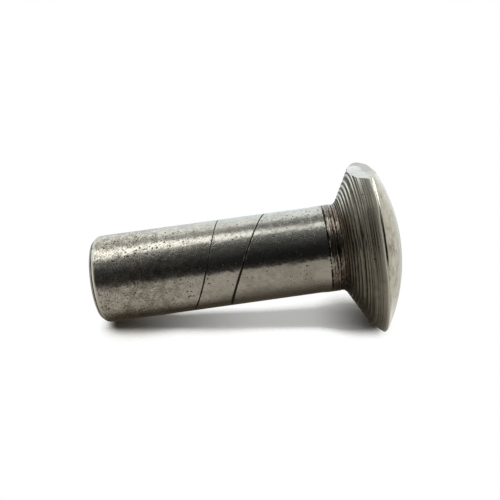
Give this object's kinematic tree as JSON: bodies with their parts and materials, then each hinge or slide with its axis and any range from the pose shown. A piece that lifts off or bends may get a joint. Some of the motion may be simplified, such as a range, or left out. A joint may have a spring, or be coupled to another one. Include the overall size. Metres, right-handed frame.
{
  "type": "pivot pin",
  "caption": "Solid turned steel pivot pin with a plain round shank, filleted neck, coned and ridged underside and a broad domed head with a ground flat on its rim.",
  "frame": {"origin": "centre of the tail's end face, which the pin stands on", "axes": "+Z along the pin's axis from the tail to the domed head; the flat on the head's rim faces midway between -X and -Y"},
  "size_m": [0.025, 0.025, 0.0418],
  "materials": {
    "worn_steel": "worn turned steel, satin, with pits, score marks and grime at the neck"
  },
  "bodies": {
    "root": {"pivot_pin": "worn_steel"}
  },
  "joints": []
}
